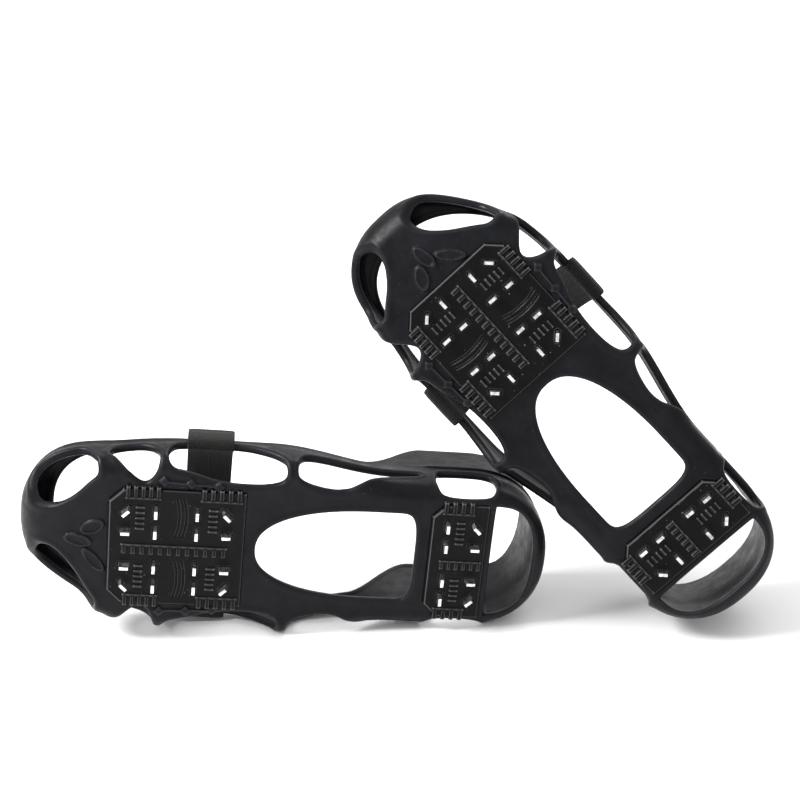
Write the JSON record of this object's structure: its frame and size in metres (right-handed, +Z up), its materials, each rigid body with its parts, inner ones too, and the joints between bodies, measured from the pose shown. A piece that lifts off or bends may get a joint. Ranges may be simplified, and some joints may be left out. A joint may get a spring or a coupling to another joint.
{
  "type": "shoe ice cleats",
  "caption": "Pair of stretch-rubber overshoe ice cleats with steel spike plates in tread pads and a hook-and-loop strap over each foot.",
  "frame": {"origin": "middle of the pair's bounding box, on the floor it rests on", "axes": "+Z up, +X along the longest extent from the right cleat's toe towards the left cleat's heel, +Y away from the side that shows the soles"},
  "size_m": [0.4451, 0.1236, 0.2474],
  "materials": {
    "harness_rubber": "satin moulded elastomer",
    "pad_rubber": "matt moulded rubber",
    "stainless_steel": "stamped, lightly brushed",
    "webbing": "woven webbing",
    "hook_and_loop": "hook-and-loop pile"
  },
  "bodies": {
    "right_cleat": {"right_harness": "harness_rubber", "right_forefoot_pad": "pad_rubber", "right_heel_pad": "pad_rubber", "right_front_inner_spike_plate": "stainless_steel", "right_front_outer_spike_plate": "stainless_steel", "right_rear_inner_spike_plate": "stainless_steel", "right_rear_outer_spike_plate": "stainless_steel", "right_heel_inner_spike_plate": "stainless_steel", "right_heel_outer_spike_plate": "stainless_steel", "right_strap_band": "webbing", "right_loop_patch": "hook_and_loop"},
    "right_strap_flap": {"right_strap_tail": "webbing", "right_hook_patch": "hook_and_loop"},
    "left_cleat": {"left_harness": "harness_rubber", "left_forefoot_pad": "pad_rubber", "left_heel_pad": "pad_rubber", "left_front_inner_spike_plate": "stainless_steel", "left_front_outer_spike_plate": "stainless_steel", "left_rear_inner_spike_plate": "stainless_steel", "left_rear_outer_spike_plate": "stainless_steel", "left_heel_inner_spike_plate": "stainless_steel", "left_heel_outer_spike_plate": "stainless_steel", "left_strap_band": "webbing", "left_loop_patch": "hook_and_loop"},
    "left_strap_flap": {"left_strap_tail": "webbing", "left_hook_patch": "hook_and_loop"}
  },
  "joints": [
    {"name": "left_cleat_lift", "type": "slide", "parent": "right_cleat", "child": "left_cleat", "axis": [0, 0, 1], "range_m": [0, 0.15]},
    {"name": "right_strap_peel", "type": "hinge", "parent": "right_cleat", "child": "right_strap_flap", "pos_m": [-0.11032, -0.01385, 0.11753], "axis": [0.9926, 0.0746, -0.0958], "range_deg": [0, 110]},
    {"name": "left_strap_peel", "type": "hinge", "parent": "left_cleat", "child": "left_strap_flap", "pos_m": [0.02596, 0.0195, 0.12218], "axis": [-0.6803, 0.2263, 0.6972], "range_deg": [0, 95]}
  ]
}
